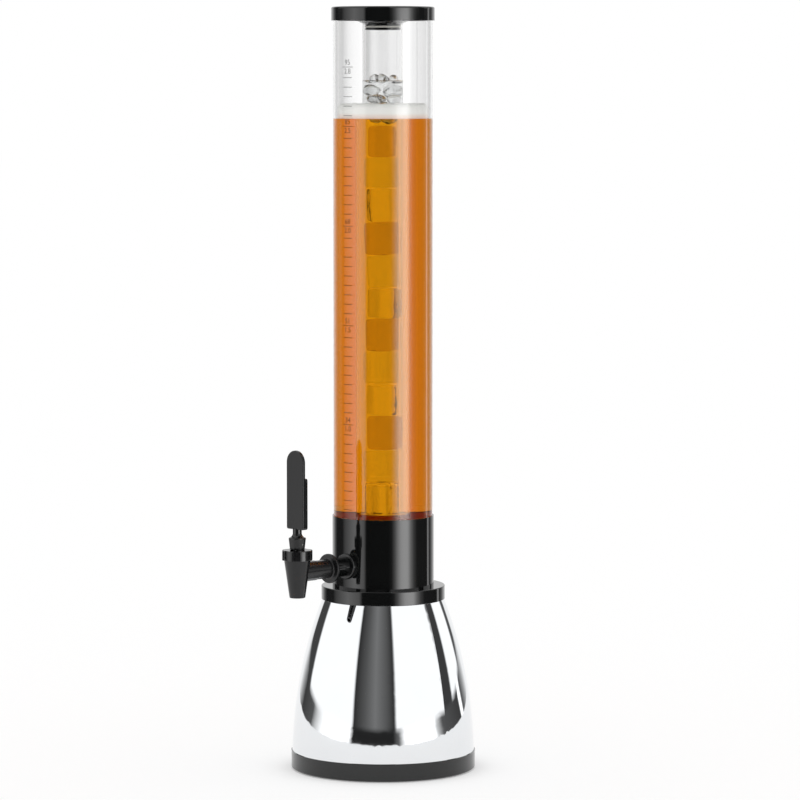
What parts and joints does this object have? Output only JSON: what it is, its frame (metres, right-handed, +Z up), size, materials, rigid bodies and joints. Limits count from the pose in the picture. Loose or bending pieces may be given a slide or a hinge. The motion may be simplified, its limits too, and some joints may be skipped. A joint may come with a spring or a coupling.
{
  "type": "beer tower dispenser",
  "caption": "Tall clear drink tower with a lift-out ice tube under its lid, a black collar with a lever tap, and a chromed bell stand on a black foot.",
  "frame": {"origin": "on the tower's axis at the underside of the non-slip pad, on the table", "axes": "+Z up along the tower's axis; the tap points along -Y; X runs left to right as the user faces the tap"},
  "size_m": [0.1866, 0.2263, 0.7693],
  "materials": {
    "eva_foam": "matt closed-cell foam",
    "black_abs": "polished injection-moulded plastic",
    "chromed_abs": "mirror plating",
    "clear_acrylic": "clear and polished",
    "black_polypropylene": "satin to glossy moulding",
    "silicone": "translucent matt",
    "stainless_steel": "bright drawn"
  },
  "bodies": {
    "tower": {"non_slip_pad": "eva_foam", "base_tray": "black_abs", "tray_screws": "stainless_steel", "bell_housing": "chromed_abs", "flange_ring": "black_abs", "flange_screws": "stainless_steel", "collar_cup": "black_abs", "tube_gasket": "silicone", "main_tube": "clear_acrylic", "tap_shank": "black_polypropylene", "outer_washer": "silicone", "inner_washer": "silicone", "shank_nut": "black_polypropylene", "tap_body": "black_polypropylene", "bonnet": "black_polypropylene", "seat_cup": "silicone"},
    "lid": {"lid": "black_abs", "lid_seal": "silicone", "ice_tube_oring": "silicone"},
    "ice_tube": {"ice_tube": "clear_acrylic", "ice_tube_base": "clear_acrylic"},
    "stem": {"stem": "stainless_steel"},
    "lever": {"tap_handle": "black_polypropylene", "handle_pin": "stainless_steel"}
  },
  "joints": [
    {"name": "lid_lift", "type": "slide", "parent": "tower", "child": "lid", "axis": [0, 0, 1], "range_m": [0, 0.54]},
    {"name": "ice_tube_pull", "type": "slide", "parent": "lid", "child": "ice_tube", "axis": [0, 0, -1], "range_m": [0, 0.03]},
    {"name": "stem_lift", "type": "slide", "parent": "tower", "child": "stem", "axis": [0, 0, 1], "range_m": [0, 0.00196], "deforming": ["seat_cup"]},
    {"name": "lever_tilt", "type": "hinge", "parent": "stem", "child": "lever", "pos_m": [0, -0.118, 0.23778], "axis": [1, 0, 0], "range_deg": [0, 32], "stiffness_Nm_per_rad": 0.01225, "springref_deg": -81.85}
  ],
  "couplings": [
    {"joint": "stem_lift", "follows": "lever_tilt", "m_per_rad": 0.0035}
  ]
}
